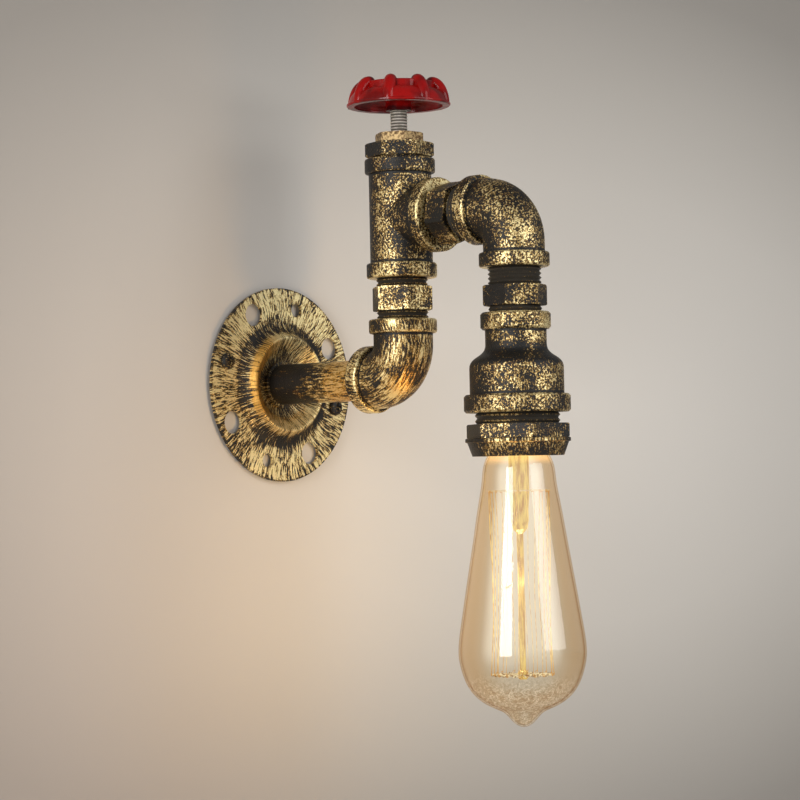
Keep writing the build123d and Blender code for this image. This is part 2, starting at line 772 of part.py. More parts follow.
def make_bulb_tip():
    """Soldered centre contact."""
    low = cap_top + insulator_height
    return drop * turned([(0, low - 1.0), (tip_radius - 1.3, low - 1.0), (tip_radius - 1.3, low),
                          (tip_radius, low), (tip_radius - 0.4, low + 0.7), (tip_radius - 1.6, low + 1.3),
                          (1.0, tip_top), (0, tip_top)])


flare_top = cap_foot + mount_flare_top
pinch = mouth - mount_length
cage_upper = mouth - cage_top
cage_lower = pip_end + cage_foot


def make_bulb_mount():
    """Glass flare, tube, pinch and rod that carry the cage."""
    throat = glass_neck_radius - glass_wall - seat_play
    end = cage_lower - mount_button_end
    return drop * turned([(0, end), (mount_button - mount_button_edge, end),
                          (mount_button, cage_lower - mount_button_half),
                          (mount_button, cage_lower + mount_button_half),
                          (mount_rod_radius, cage_lower + mount_button_neck),
                          (mount_rod_radius, pinch),
                          (mount_pinch_radius, pinch + mount_pinch_height),
                          (mount_bulge, pinch + mount_bulge_low),
                          (mount_bulge, pinch + mount_bulge_high),
                          (mount_tube_radius, pinch + mount_tube_low),
                          (mount_tube_radius, flare_top - mount_flare_height),
                          (throat - mount_flare_step, flare_top - mount_flare_lip),
                          (throat, flare_top), (0, flare_top)])


def cage_place(index, level):
    """Point of the cage on its circle at a level."""
    turn = 360 / cage_strands * index
    return (cage_radius * cos(radians(turn)), cage_radius * sin(radians(turn)), level)


def make_bulb_filament():
    """Squirrel-cage strands, upright between the upper and the lower hooks."""
    strands = []
    for index in range(cage_strands):
        x, y, low = cage_place(index, cage_lower)
        strands.append(drop * Pos(x, y, 0) * rod(strand_radius, low + hook_radius, cage_upper - hook_radius))
    return group(strands)


def make_bulb_supports():
    """Spokes from the mount to the ends of the strands, above and below."""
    spokes = []
    for level, inner in ((cage_upper, mount_tube_radius), (cage_lower, mount_button)):
        for index in range(cage_strands):
            turn = 360 / cage_strands * index
            spoke = rod(hook_radius, inner + spoke_play, cage_radius + hook_radius)
            spokes.append(drop * Pos(0, 0, level) * Rot(0, 0, turn) * Rot(0, 90, 0) * spoke)
    return group(spokes)


# ---------------------------------------------------------------- plug, gland, stem and wheel

def make_top_plug():
    """Hex bushing screwed into the top of the tee."""
    outline = [(plug_bore, tee_top - plug_thread_in), (thread_radius, tee_top - plug_thread_in),
               (thread_radius, plug_foot + 0.5), (plug_bore, plug_foot + 0.5)]
    block = hexagon(plug_flats, plug_foot, plug_top)
    block -= rod(plug_bore, plug_foot - past, plug_top + past)
    return tower * Rot(0, 0, plug_turn) * (turned(outline) + block)


def make_gland_nut():
    """Brass nut with a spigot down into the plug, bored for the stem."""
    nut = hexagon(gland_flats, plug_top, gland_top)
    nut += rod(plug_bore - thread_play, plug_top - gland_spigot, plug_top + 0.5)
    nut -= rod(stem_radius + running_play, plug_top - gland_spigot - past, gland_top + past)
    return tower * Rot(0, 0, gland_turn) * nut


def make_valve_stem():
    """Threaded stem with a plain spigot for the wheel."""
    outline = [(0, stem_low), (stem_radius - stem_depth, stem_low)]
    land = hub_foot - stem_land_high
    outline += thread_points(stem_radius, stem_depth, stem_pitch, stem_stop_top,
                             hub_foot - stem_land_low)
    outline += [(stem_radius, land), (spigot_radius, land), (spigot_radius, wheel_seat),
                (0, wheel_seat)]
    tapped = rod(wheel_screw_radius + running_play, wheel_seat - stem_screw_hole, wheel_seat + past)
    return tower * (turned(outline) - tapped)


def make_stem_stop():
    """Collar pressed on the stem under the gland, which ends its rise."""
    return tower * ring(stem_stop_radius, stem_radius - stem_depth + stop_play, stem_low, stem_stop_top)


web_top = wheel_top - wheel_lobe_stand - wheel_web_drop
hub_top = web_top + wheel_hub_rise
wheel_seat = hub_top - seat_play


def dome_arc(radius_out, radius_in, low, high):
    """Quarter of an ellipse over the wheel's shoulder, as a curve in (radius, height)."""
    return EllipticalCenterArc((radius_in, low), radius_out - radius_in, high - low, arc_size=90)


def make_handwheel():
    """Dished cast wheel: a domed rim, a raised ring with rounded lobes, a web and a hub."""
    ring_top = wheel_top - wheel_lobe_stand
    dome_out = wheel_radius - wheel_edge_stand
    under_web = web_top - wheel_shell
    outer = dome_arc(dome_out, wheel_step_radius, rim_foot, rim_foot + wheel_step_height)
    inner = dome_arc(dome_out - wheel_shell, wheel_step_radius - wheel_shell, rim_foot, under_web)
    top = Polyline(outer @ 1, (wheel_step_radius, ring_top - 0.5), (wheel_step_radius - 0.5, ring_top),
                   (wheel_crest_radius - 1, ring_top), (wheel_crest_radius - 3, web_top), (0, web_top),
                   (0, under_web), inner @ 1)
    foot = Line(inner @ 0, outer @ 0)
    wheel = revolve(Plane.XZ * make_face([outer, top, inner, foot]), Axis.Z)
    edge_in = dome_out - wheel_shell
    wheel += turned([(edge_in, rim_foot), (wheel_radius - 0.5, rim_foot), (wheel_radius, rim_foot + 0.5),
                     (wheel_radius, rim_foot + wheel_edge - 0.5), (wheel_radius - 0.5, rim_foot + wheel_edge),
                     (edge_in, rim_foot + wheel_edge)])
    wheel += rod(wheel_hub_radius, hub_foot, hub_top)
    ridge = dome_arc(wheel_radius - wheel_lobe_radius, wheel_crest_radius, rim_foot,
                     wheel_top - wheel_lobe_radius)
    path = Plane.XZ * ridge
    lobe = sweep(Plane(origin=path @ 0, z_dir=(0, 0, 1)) * Circle(wheel_lobe_radius), path=path)
    lobe += Pos(path @ 1) * Sphere(wheel_lobe_radius)
    under = Polyline(inner @ 1, (0, under_web), (0, rim_foot), inner @ 0)
    lobe -= revolve(Plane.XZ * make_face([inner, under]), Axis.Z)
    for index in range(wheel_lobes):
        wheel += Rot(0, 0, 360 / wheel_lobes * index) * lobe
    wheel -= rod(spigot_radius + running_play, hub_foot - past, wheel_top)
    return tower * Rot(0, 0, wheel_lobe_turn) * wheel


def make_wheel_washer():
    """Washer between the wheel's hub and its screw."""
    return tower * ring(wheel_washer_radius, wheel_screw_radius + thread_play,
                        hub_top, hub_top + wheel_washer_sheet)


def make_wheel_screw():
    """Screw that keeps the wheel on the stem."""
    screw = pan_screw(wheel_screw_radius, wheel_screw_head_radius, wheel_screw_head_height,
                      wheel_screw_length)
    return tower * Pos(0, 0, hub_top + wheel_washer_sheet) * screw


# ---------------------------------------------------------------- leads

def make_lead(side):
    """Lead from the wall, through the run, to its terminal."""
    x = side * lead_spread
    aside = side * terminal_reach
    end = porcelain_top + terminal_height / 3 + lead_end_play
    points = [(x, -ferrule_length, 0), (x, -tower_reach, 0), (x, -tower_reach, side_level),
              (x, -drop_reach, side_level), (x, -drop_reach, porcelain_top + lead_turn_out),
              (aside, -drop_reach, porcelain_top + lead_turn_down), (aside, -drop_reach, end)]
    bends = [elbow_bend, elbow_bend, elbow_bend, lead_bend_out, lead_bend_down]
    return wire(points, lead_radius, bends)


def make_ferrules():
    """Crimped sleeves on the leads' ends at the wall."""
    sleeve = out_of_wall * rod(ferrule_radius, 0, ferrule_length)
    return group(Pos(side * lead_spread, 0, 0) * sleeve for side in (-1, 1))


# ---------------------------------------------------------------- write the sub-parts

pieces = {
    "wall_plate": make_wall_plate,
    "mounting_bracket": make_mounting_bracket,
    "plate_screws": make_plate_screws,
    "earth_screw": make_earth_screw,
    "earth_lug": make_earth_lug,
    "earth_lead": make_earth_lead,
    "supply_pipe": make_supply_pipe,
    "lower_elbow": make_lower_elbow,
    "tower_nipple": make_tower_nipple,
    "tee": make_tee,
    "side_nipple": make_side_nipple,
    "upper_elbow": make_upper_elbow,
    "drop_nipple": make_drop_nipple,
    "bell_reducer": make_bell,
    "holder_bushing": make_holder_bushing,
    "holder_rim": make_holder_rim,
    "lampholder_porcelain": make_porcelain,
    "lampholder_shell": make_socket_shell,
    "lampholder_contact": make_centre_contact,
    "terminal_blocks": make_terminal_blocks,
    "terminal_screws": make_terminal_screws,
    "bulb_glass": make_bulb_glass,
    "bulb_cap": make_bulb_cap,
    "bulb_insulator": make_bulb_insulator,
    "bulb_tip": make_bulb_tip,
    "bulb_mount": make_bulb_mount,
    "bulb_filament": make_bulb_filament,
    "bulb_supports": make_bulb_supports,
    "top_plug": make_top_plug,
    "gland_nut": make_gland_nut,
    "valve_stem": make_valve_stem,
    "stem_stop": make_stem_stop,
    "handwheel": make_handwheel,
    "wheel_washer": make_wheel_washer,
    "wheel_screw": make_wheel_screw,
    "live_lead": lambda: make_lead(-1),
    "neutral_lead": lambda: make_lead(1),
    "lead_ferrules": make_ferrules,
}

os.makedirs("parts", exist_ok=True)
for name, make in pieces.items():
    keep(make(), name)
print("wrote", len(pieces), "sub-parts; reach", round(drop_reach, 1), "wheel top", round(wheel_top, 1),
      "pip", round(pip_end, 1))
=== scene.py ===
# %% [markdown]
# # A wall light of pipe fittings, dressed for its picture
#
# The lamp is a run of threaded pipe fittings: a round drilled plate on the wall, an elbow, a tee
# with a red valve wheel, a second elbow and a bell that holds a long filament bulb. All the hard
# shapes come ready made from the CAD model, so the work here is what Blender does best: worn
# antique brass, glass with a glow in it, a paint finish, light and a camera.
#
# The CAD model is loaded first. Every later piece is placed against it.

# %% Load the fixed frame
import bmesh
import bpy
import random
from math import cos, pi, radians, sin, tau
from mathutils import Matrix, Quaternion, Vector


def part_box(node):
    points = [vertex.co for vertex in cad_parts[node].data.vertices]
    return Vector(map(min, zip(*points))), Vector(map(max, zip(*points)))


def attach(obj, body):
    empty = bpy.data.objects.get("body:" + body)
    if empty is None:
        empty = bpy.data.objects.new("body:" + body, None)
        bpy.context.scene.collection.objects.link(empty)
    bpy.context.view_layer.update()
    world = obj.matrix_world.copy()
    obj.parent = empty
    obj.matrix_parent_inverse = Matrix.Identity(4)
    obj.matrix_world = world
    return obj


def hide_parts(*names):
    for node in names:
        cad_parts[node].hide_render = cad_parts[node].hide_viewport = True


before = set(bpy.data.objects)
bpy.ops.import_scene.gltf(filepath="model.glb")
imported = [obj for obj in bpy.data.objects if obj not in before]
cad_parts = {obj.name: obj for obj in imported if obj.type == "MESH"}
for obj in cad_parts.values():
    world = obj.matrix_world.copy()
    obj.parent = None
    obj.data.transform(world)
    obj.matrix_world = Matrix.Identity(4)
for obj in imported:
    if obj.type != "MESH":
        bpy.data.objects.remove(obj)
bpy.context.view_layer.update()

# %% [markdown]
# ## Camera
#
# A picture can only be compared with the photograph when both are seen from one place. The
# outline of the round plate gives the direction of view, because a circle turned sideways
# becomes an ellipse, and the bands round the fittings give the height of the eye: above it their
# lower rims curve up, below it they curve down. The lens follows from how much the near parts
# are larger than the far ones. The camera is also rolled by about a degree, as a hand-held one is.

# %% Camera at the photograph's place
aim = Vector((0.0, -0.08819, -0.01107))
look = Vector((0.73591, 0.67645, 0.029247)).normalized()
camera_distance = 1.302
camera_roll = radians(-1.158)

camera_data = bpy.data.cameras.new("camera")
camera_data.lens = 114.7
camera_data.sensor_width = 36.0
camera = bpy.data.objects.new("camera", camera_data)
bpy.context.collection.objects.link(camera)
level = look.to_track_quat("-Z", "Y")
camera.rotation_mode = "QUATERNION"
camera.rotation_quaternion = level @ Quaternion((0, 0, 1), camera_roll)
camera.location = aim - camera_distance * look
bpy.context.scene.camera = camera
print("camera at", [round(v, 3) for v in camera.location])

# %% [markdown]
# ## Shader sums
#
# A material in Blender is a graph of nodes. Drawn by hand, such a graph is easy to follow, but
# made by code it turns into long lists of links. Here one small class stands for the output of a
# node and knows how to add, multiply and compare itself, so that a mask reads like arithmetic.
# A second class is the material, and its one method makes every node.

# %% Signals and paints
class Signal:
    """The output of a node, for use in sums."""

    def __init__(self, paint, socket):
        self.paint = paint
        self.socket = socket

    def sum(self, operation, first, second):
        return self.paint.node("ShaderNodeMath", {"operation": operation}, {0: first, 1: second})

    def __add__(self, other):
        return self.sum("ADD", self, other)

    def __radd__(self, other):
        return self.sum("ADD", other, self)

    def __sub__(self, other):
        return self.sum("SUBTRACT", self, other)

    def __rsub__(self, other):
        return self.sum("SUBTRACT", other, self)

    def __mul__(self, other):
        return self.sum("MULTIPLY", self, other)

    def __rmul__(self, other):
        return self.sum("MULTIPLY", other, self)

    def __truediv__(self, other):
        return self.sum("DIVIDE", self, other)

    def __pow__(self, other):
        return self.sum("POWER", self, other)

    def most(self, other):
        return self.sum("MAXIMUM", self, other)

    def least(self, other):
        return self.sum("MINIMUM", self, other)


class Paint:
    """A material under construction."""

    def __init__(self, name):
        self.material = bpy.data.materials.new(name)
        self.material.use_nodes = True
        self.tree = self.material.node_tree
        self.tree.nodes.clear()

    def node(self, kind, settings=None, sockets=None, output=0):
        made = self.tree.nodes.new(kind)
        for key, value in (settings or {}).items():
            if key == "stops":
                for index, (place, colour) in enumerate(value):
                    ramp = made.color_ramp.elements
                    stop = ramp[index] if index < 2 else ramp.new(place)
                    stop.position, stop.color = place, colour
            else:
                setattr(made, key, value)
        for key, value in (sockets or {}).items():
            if isinstance(value, Signal):
                self.tree.links.new(value.socket, made.inputs[key])
            else:
                made.inputs[key].default_value = value
        return Signal(self, made.outputs[output]) if made.outputs else made

    def surface(self, shader):
        self.node("ShaderNodeOutputMaterial", None, {"Surface": shader})
        return self.material


print("shader sums ready")

# %% [markdown]
# A few words are used in almost every finish: the place on the piece, in metres, a grain of noise,
# a soft step between two values, a mix of two colours, a bump and the shaders themselves. Places
# are read in Object coordinates. Because each object sits at the origin, those are the real
# coordinates of the lamp, and a mask can name a real height such as the lower rim of the tee.

# %% Words of the finishes
def place(paint):
    return paint.node("ShaderNodeTexCoord", output=3)


def parts_of(paint, vector):
    made = paint.node("ShaderNodeSeparateXYZ", None, {0: vector}).socket.node
    return [Signal(paint, made.outputs[index]) for index in range(3)]


def vector_of(paint, x, y, z):
    return paint.node("ShaderNodeCombineXYZ", None, {0: x, 1: y, 2: z})


def grain(paint, vector, per_metre, detail=3.0, roughness=0.6, distortion=0.0):
    return paint.node("ShaderNodeTexNoise", None,
                      {"Vector": vector, "Scale": per_metre, "Detail": detail,
                       "Roughness": roughness, "Distortion": distortion})


def soft_step(paint, value, low, high):
    return paint.node("ShaderNodeMapRange", {"interpolation_type": "SMOOTHSTEP"},
                      {"Value": value, "From Min": low, "From Max": high})


def mix(paint, amount, first, second):
    return paint.node("ShaderNodeMix", {"data_type": "RGBA"},
                      {0: amount, 6: first, 7: second}, output=2)


def bump(paint, height, distance, strength=1.0, under=None):
    sockets = {"Height": height, "Distance": distance, "Strength": strength}
    if under:
        sockets["Normal"] = under
    return paint.node("ShaderNodeBump", None, sockets)


def shader(paint, **sockets):
    named = {key.replace("_", " "): value for key, value in sockets.items()}
    return paint.node("ShaderNodeBsdfPrincipled", None, named)


def see_through(paint, red=1.0, green=1.0, blue=1.0):
    return paint.node("ShaderNodeBsdfTransparent", None, {"Color": (red, green, blue, 1.0)})


def blend(paint, amount, first, second):
    """Mix of two shaders."""
    return paint.node("ShaderNodeMixShader", None, {0: amount, 1: first, 2: second})


def with_glow(paint, body, amount, tint, strength):
    """A shader with light of its own added where amount says so."""
    light = paint.node("ShaderNodeEmission", None, {"Color": (*tint, 1.0), "Strength": strength})
    lit = paint.node("ShaderNodeAddShader", None, {0: body, 1: light})
    return blend(paint, amount, body, lit)


def reach(paint, first, second):
    """Distance from an axis, out of the two coordinates across it."""
    return (first * first + second * second) ** 0.5


def band(paint, value, low, high, edge):
    """1 between low and high, falling off over edge."""
    above = soft_step(paint, value, low - edge, low)
    return above * (1 - soft_step(paint, value, high, high + edge))


def colour(red, green, blue):
    """A colour as read on screen, 0 to 255, in the linear values that shaders use."""
    def linear(v):
        v = v / 255
        return v / 12.92 if v < 0.04045 else ((v + 0.055) / 1.055) ** 2.4
    return (linear(red), linear(green), linear(blue), 1.0)


def wear(material, *nodes):
    """Give a finish to CAD nodes."""
    for name in nodes:
        piece = bpy.data.objects[name]
        piece.data.materials.clear()
        piece.data.materials.append(material)


print("mid grey on screen is", round(colour(128, 128, 128)[0], 3), "in linear light")

# %% [markdown]
# ## Places of the run
#
# The masks need to know where the beads, threads and hexagons are. The boxes of the CAD nodes
# tell it: the tower and the drop are upright, and the arm between them is level.

# %% Levels and axes read from the frame
def box_of(name):
    low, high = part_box(name)
    return Vector(low), Vector(high)


tower_y = sum(v.y for v in box_of("tower_nipple")) / 2
drop_y = sum(v.y for v in box_of("drop_nipple")) / 2
arm_z = sum(v.z for v in box_of("side_nipple")) / 2
plate_low, plate_high = box_of("wall_plate")
print("tower at y", round(tower_y, 4), "drop at y", round(drop_y, 4), "arm at z", round(arm_z, 4))

# %% [markdown]
# ## Antique brass
#
# The fittings are black first, and brass paint is then brushed over them nearly dry. It stays on
# whatever stands out: the rims, the corners of the hexagons and the tops of the rough casting.
# The hollows stay black, and the threads are almost bare iron. One finish could be painted by hand
# on a texture, but a procedural one fits every piece at once and keeps sharp at any distance.
#
# The finish below takes a `flow`, the direction that the brush went, as a stretched coordinate:
# noise on a stretched coordinate gives strokes, and on a plain one gives the speckle of a casting.
# Both go into one number, the level of the brass. Masks of the beads, corners, threads and darker
# places raise or lower it, painted highlights raise it, and painted shade lowers it on the side
# that faces the wall. A ramp turns it into colour: black below, then brown where the brass is thin,
# then gold, and nearly cream at the top, where it was rubbed bright and where highlights are
# painted. An amber glow of the bulb's light is painted over some places. Because colour, metal and
# roughness all follow the same level, they change together, as on a real piece.

# %% The brushed finish
soot = colour(23, 21, 18)
umber = colour(66, 50, 30)
dull_brass = colour(140, 108, 56)
warm_brass = colour(190, 152, 84)
bright_brass = colour(255, 236, 176)
rust = colour(96, 50, 28)
painted_bulb_amber = colour(212, 152, 50)
bare_iron = colour(60, 55, 47)
speckle_per_metre, patch_per_metre, stain_per_metre = 900.0, 74.0, 150.0
brass_from, brass_full = 0.445, 0.470


def marked_edges(paint, value, low, high, body_side):
    """Marks of a bead or hexagon from low to high: brass, most on its two edges, and the crease
    where it meets the body, which lies above (1), below (-1) or nowhere (0)."""
    line, fade, half = 0.0013, 0.0006, 0.0003
    brass = 0.075 * band(paint, value, low, high, half)
    brass = brass - 0.05 * band(paint, value, low + line, high - line, fade)
    if not body_side:
        return brass
    crease = (high if body_side > 0 else low) + body_side * fade
    return brass - 0.16 * band(paint, value, crease - half, crease + half, fade)


def spot(paint, x, y, z, centre, radius):
    """Soft round patch about a point."""
    aside = reach(paint, x - centre[0], y - centre[1])
    return 1 - soft_step(paint, reach(paint, aside, z - centre[2]), 0.0, radius)


def antique_brass(name, flow, strokes, cover, bright=None, dark=None, thread=None, edges=(),
                  painted_glow=None):
    """Black casting with brass brushed over it. flow gives the stroke coordinate, strokes how much
    the brush shows against the speckle, and cover how much brass there is. bright and dark are
    masks that raise and lower the brass, some of them painted highlights. The last argument is the
    mask of where an amber glow of the bulb's light is painted on. thread gives the masks of a bare
    thread and its crest, and edges the beads, as axis, low, high and side of the body."""
    paint = Paint(name)
    at = place(paint)
    x, y, z = parts_of(paint, at)
    to_wall = parts_of(paint, paint.node("ShaderNodeTexCoord", output=1))[1]
    stroke = grain(paint, flow(paint, x, y, z), 1.0, 3.0, 0.7)
    speckle = grain(paint, at, speckle_per_metre, 2.0, 0.7)
    fine = grain(paint, at, 1.9 * speckle_per_metre, 2.0, 0.6)
    patch = grain(paint, at, patch_per_metre, 2.0, 0.5)
    level = (strokes * stroke + (1 - strokes) * speckle + (0.50 - 0.25 * strokes) * (fine - 0.5)
             + 0.46 * (patch - 0.5))
    # Painted shade: the side of each piece that faces the wall is darker.
    level = level + 0.5 * (cover - 0.5) - 0.12 * soft_step(paint, to_wall, -0.1, 0.4)
    for axis, low, high, body_side in edges:
        level = level + marked_edges(paint, z if axis == "z" else y, low, high, body_side)
    if bright:
        level = level + 0.035 * bright(paint, x, y, z)
    if dark:
        level = level - 0.34 * dark(paint, x, y, z)
    under = soot
    if thread:
        bare, crest = thread(paint, x, y, z)
        level = level + bare * (0.19 * crest - 0.16)
        under = mix(paint, bare, soot, bare_iron)
    brass = soft_step(paint, level, brass_from, brass_full)
    tone = paint.node("ShaderNodeValToRGB",
                      {"stops": [(0.45, umber), (0.58, bright_brass), (0.485, dull_brass),
                                 (0.52, warm_brass)]}, {0: level})
    stain = soft_step(paint, grain(paint, at, stain_per_metre, 1.0), 0.54, 0.64)
    stain = stain * (1 - soft_step(paint, level, 0.46, 0.51))
    tone = mix(paint, 0.7 * stain, tone, rust)
    # Painted light: amber where the bulb's glow falls on the brass.
    if painted_glow:
        tone = mix(paint, 0.5 * brass * painted_glow(paint, x, y, z), tone, painted_bulb_amber)
    shine = soft_step(paint, level, 0.49, 0.60)
    height = bump(paint, speckle + 0.5 * fine, 0.0005, 0.6,
                  bump(paint, stroke, 0.0003, 0.4 * strokes + 0.1))
    finish = shader(paint, Base_Color=mix(paint, brass, under, tone),
                    Metallic=0.2 + 0.55 * brass, Roughness=0.48 - 0.14 * shine,
                    Normal=height)
    return paint.surface(finish)


def flow_up(paint, x, y, z):
    """Strokes that run up and down."""
    return vector_of(paint, x * 1200, y * 1200, z * 220)


def flow_out(paint, x, y, z):
    """Strokes that run out of the wall."""
    return vector_of(paint, x * 1000, y * 150, z * 1000)


print("finish words ready for", len(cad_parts), "nodes")

# %% [markdown]
# ## Wall plate
#
# The plate was brushed outwards from its middle, so its strokes follow the radius. A coordinate
# made of the sine and cosine of the angle has no seam, unlike the angle itself. The brass is
# thick on the flat rim and on the crest of the ring. An amber glow of the bulb's light is painted
# on the crest's left and lower side. The black shows on the ring's outer flank and at the plate's
# edge, and the plate is darker round the pipe's root. Each of these places is a ring, so its mask
# is a band of distances from the plate's middle.

# %% Plate finish
root_in, root_out = 0.012, 0.0185
crest_in, crest_out = 0.0205, 0.0262
flank_in, flank_out = 0.0285, 0.0325
rim_in, rim_full = 0.034, 0.037
edge_in, edge_out = 0.0507, 0.0511
plate_glow_in, plate_glow_out = 0.0185, 0.0268


def flow_radial(paint, x, y, z):
    r = reach(paint, x, z).most(0.001)
    sway = 9 * grain(paint, place(paint), 34.0, 1.0)
    return vector_of(paint, x / r * 50 + sway, z / r * 50 + sway, r * 130)


def plate_bright(paint, x, y, z):
    r = reach(paint, x, z)
    crest = band(paint, r, crest_in, crest_out, 0.003)
    return 2.0 * crest + 1.2 * soft_step(paint, r, rim_in, rim_full)


def plate_dark(paint, x, y, z):
    r = reach(paint, x, z)
    return (0.36 * band(paint, r, flank_in, flank_out, 0.0022)
            + 0.3 * soft_step(paint, r, edge_in, edge_out)
            + 0.26 * (1 - soft_step(paint, r, root_in, root_out)))


# Painted light: an amber glow of the bulb on the crest's left and lower side, weaker at the bottom.
def plate_painted_glow(paint, x, y, z):
    r = reach(paint, x, z)
    side = 1 - soft_step(paint, x + 0.6 * z, -0.006, 0.014)
    return (1.7 * band(paint, r, plate_glow_in, plate_glow_out, 0.002) * side
            * (0.35 + 0.65 * soft_step(paint, z, -0.022, -0.012)))


wear(antique_brass("plate_brass", flow_radial, 1.3, 0.49, plate_bright, plate_dark,
                   painted_glow=plate_painted_glow), "wall_plate")
print("plate", [round(1000 * v, 1) for v in plate_high - plate_low])

# %% [markdown]
# ## Pipe, elbows and tee
#
# The level pipe was brushed along its length and is darker towards the wall. An amber glow of the
# bulb's light is painted on the pipe and on the lower elbow. Round the lower elbow the strokes
# follow the bend: the angle about the centre of the bend takes the place of the straight
# coordinate. The upper elbow and the tee are speckled castings with a few painted highlights. Each
# mouth ends in a bead that keeps more brass, and the beads' places are taken from the ends of the
# pieces.

# %% Pipe and fittings
dark_from, dark_full = -0.036, -0.014
pipe_glow_from, pipe_glow_to = -0.064, -0.046
bend_radius = 0.0175
elbow_bead, tee_bead, outlet_bead = 0.0072, 0.0076, 0.0065


def pipe_dark(paint, x, y, z):
    return 0.44 * soft_step(paint, y, dark_from, dark_full)


# Painted light: a band of the bulb's amber glow along the pipe.
def pipe_painted_glow(paint, x, y, z):
    return band(paint, y, pipe_glow_from, pipe_glow_to, 0.006)


# Painted highlight: the brass is raised where the bulb's glow is painted.
def pipe_glow_highlight(paint, x, y, z):
    return 0.9 * pipe_painted_glow(paint, x, y, z)


def flow_lower_bend(paint, x, y, z):
    across = y - (tower_y + bend_radius)
    up = z - bend_radius
    r = reach(paint, across, up)
    angle = paint.node("ShaderNodeMath", {"operation": "ARCTAN2"}, {0: up, 1: across})
    return vector_of(paint, x * 1150, r * 1150, angle * 5.0)


def box_edges(name, axis, thick_low=None, thick_high=None):
    """Beads at the low and high end of a piece along an axis, as thick as given."""
    low, high = (corner["xyz".index(axis)] for corner in box_of(name))
    beads = []
    if thick_low:
        beads.append((axis, low, low + thick_low, 1))
    if thick_high:
        beads.append((axis, high - thick_high, high, -1))
    return beads


lower_beads = (box_edges("lower_elbow", "z", None, elbow_bead)
               + box_edges("lower_elbow", "y", None, elbow_bead))
upper_beads = (box_edges("upper_elbow", "z", elbow_bead)
               + box_edges("upper_elbow", "y", None, elbow_bead))
tee_beads = box_edges("tee", "z", tee_bead, tee_bead) + box_edges("tee", "y", outlet_bead)
tee_top_bead = tee_beads[1][1]
bend_glow_spot, elbow_highlight_spot = (-0.010, -0.098, -0.004), (-0.013, -0.174, 0.0677)
tee_highlight_high, tee_highlight_low = (-0.0131, -0.1005, 0.0952), (-0.0154, -0.0955, 0.0630)


# Painted light: an amber glow of the bulb on the bend.
def bend_painted_glow(paint, x, y, z):
    return spot(paint, x, y, z, bend_glow_spot, 0.013)


# Painted highlight on the upper elbow.
def upper_painted_highlight(paint, x, y, z):
    return 1.2 * spot(paint, x, y, z, elbow_highlight_spot, 0.015)


# Painted highlights on the tee, high and low.
def tee_painted_highlights(paint, x, y, z):
    return (1.8 * spot(paint, x, y, z, tee_highlight_high, 0.010)
            + 1.6 * spot(paint, x, y, z, tee_highlight_low, 0.011))


def tee_dark(paint, x, y, z):
    return 0.2 * soft_step(paint, z, tee_top_bead - 0.0004, tee_top_bead)


wear(antique_brass("pipe_brass", flow_out, 0.8, 0.48, pipe_glow_highlight, pipe_dark, painted_glow=pipe_painted_glow),
     "supply_pipe")
wear(antique_brass("bend_brass", flow_lower_bend, 0.8, 0.47, edges=lower_beads, painted_glow=bend_painted_glow),
     "lower_elbow")
wear(antique_brass("cast_brass_elbow", flow_up, 0.15, 0.38, upper_painted_highlight, edges=upper_beads),
     "upper_elbow")
wear(antique_brass("cast_brass_tee", flow_up, 0.25, 0.41, tee_painted_highlights, tee_dark,
                   edges=tee_beads), "tee")
print("four fittings finished")

# %% [markdown]
# ## Nipples, plug and holder
#
# A hex nipple has a thread at each end, which goes into its neighbour, and a hexagon between them.
# The thread is almost bare iron with a trace of brass on its crests, and the corners of the hexagon
# took the most brass. Both masks are distances from the axis: only the corners reach past the
# flats, and only the crests stand above the roots of the thread. The ends of a hexagon are found
# from its neighbours and the few millimetres of thread that show between them.

# %% Nipples
def corner_wear(across, start, end):
    """Mask of what stands further than start from an upright axis at y = across."""
    def mask(paint, x, y, z):
        return soft_step(paint, reach(paint, x, y - across), start, end)
    return mask


def bare_threads(low, high, axis, across, radius):
    """Masks of the threads on both sides of a hexagon, along z or y, and of their crests, with
    across the place of the axis and radius that of the crests."""
    def masks(paint, x, y, z):
        along, side = (z, y) if axis == "z" else (y, z)
        crest = soft_step(paint, reach(paint, x, side - across), radius - 0.0005, radius - 0.0001)
        return 1 - band(paint, along, low, high, 0.0002), crest
    return masks


thread_crest, hex_corner, plug_corner, bushing_corner = 0.01322, 0.0158, 0.0172, 0.0258
plug_hex_height = 0.0070
tower_hex = (box_of("lower_elbow")[1].z + 0.0044, box_of("tee")[0].z - 0.0044)
drop_hex = (box_of("bell_reducer")[1].z + 0.0032, box_of("upper_elbow")[0].z - 0.0088)
side_hex = (box_of("upper_elbow")[1].y + 0.0077, box_of("tee")[0].y - 0.0016)

wear(antique_brass("tower_hex_brass", flow_up, 0.3, 0.36, corner_wear(tower_y, 0.0146, hex_corner),
                   thread=bare_threads(*tower_hex, "z", tower_y, thread_crest),
                   edges=[("z", *tower_hex, 0)]), "tower_nipple")
wear(antique_brass("drop_hex_brass", flow_up, 0.3, 0.19, corner_wear(drop_y, 0.0150, hex_corner),
                   thread=bare_threads(*drop_hex, "z", drop_y, thread_crest),
                   edges=[("z", *drop_hex, 0)]), "drop_nipple")
wear(antique_brass("side_hex_brass", flow_out, 0.4, 0.30,
                   thread=bare_threads(*side_hex, "y", arm_z, thread_crest),
                   edges=[("y", *side_hex, 0)]), "side_nipple")
plug_top = box_of("top_plug")[1].z
plug_hex = (plug_top - plug_hex_height, plug_top)
wear(antique_brass("plug_brass", flow_up, 0.3, 0.34, corner_wear(tower_y, 0.0160, plug_corner),
                   edges=[("z", *plug_hex, 0)]), "top_plug")
print("hexagons at z", [round(1000 * v, 1) for v in tower_hex + drop_hex])

